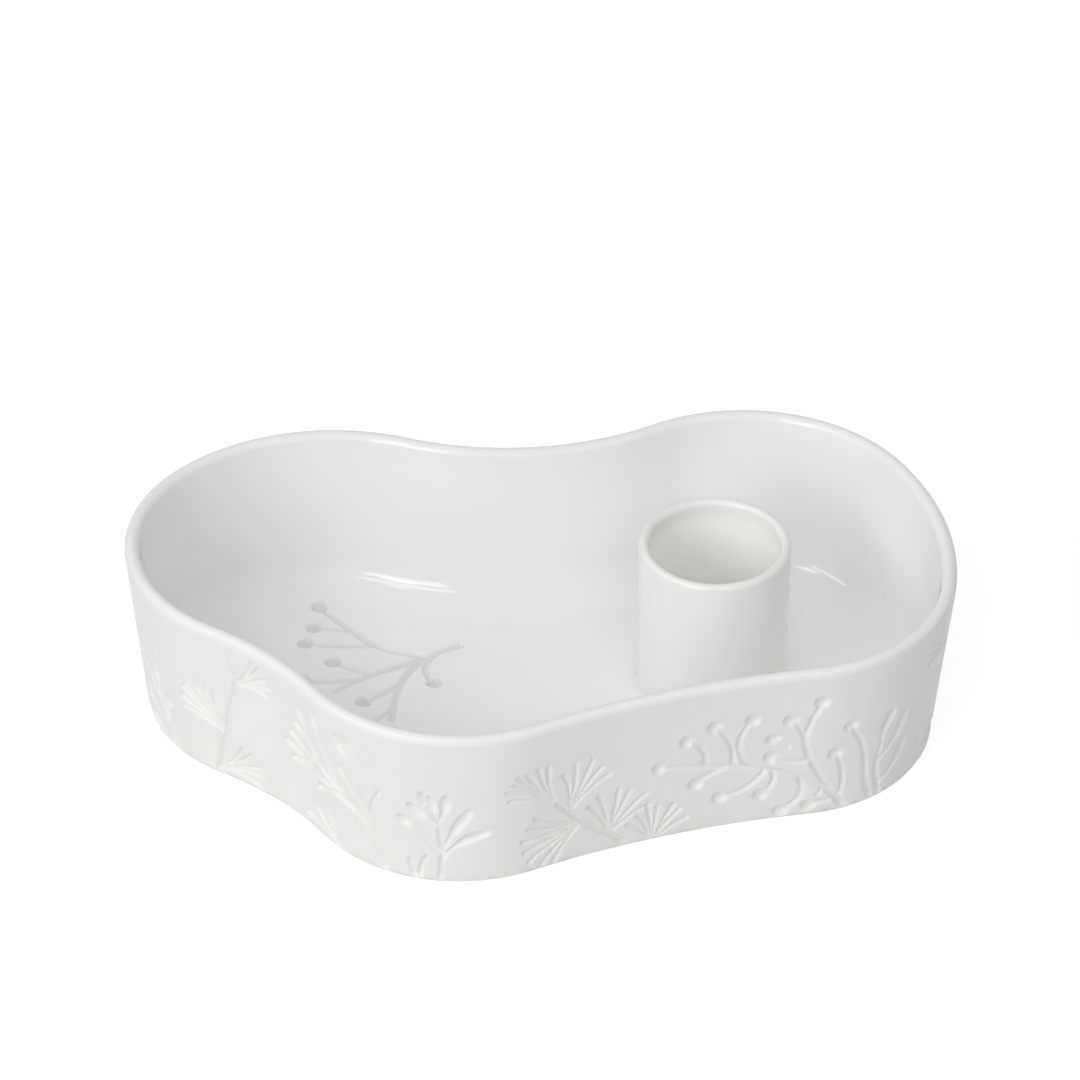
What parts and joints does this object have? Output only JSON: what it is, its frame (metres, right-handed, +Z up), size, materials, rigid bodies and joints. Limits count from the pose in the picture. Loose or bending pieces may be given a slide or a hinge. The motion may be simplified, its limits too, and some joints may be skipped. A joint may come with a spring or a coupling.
{
  "type": "candle plate",
  "caption": "Porcelain dish with a lobed outline and an upright, outward-leaning wall, glazed inside, with a round candle cup standing on its floor.",
  "frame": {"origin": "middle of the outline's box on the surface that the dish stands on", "axes": "+Z up, X along the dish's longest side with the cup towards +X, +Y towards the hollow in its back"},
  "size_m": [0.2574, 0.171, 0.06],
  "materials": {
    "bare_porcelain": "matte, unglazed",
    "clear_glaze": "gloss"
  },
  "bodies": {
    "root": {"dish_body": "bare_porcelain", "dish_glaze": "clear_glaze", "candle_cup": "bare_porcelain", "cup_glaze": "clear_glaze", "luting_fillet": "clear_glaze"}
  },
  "joints": []
}
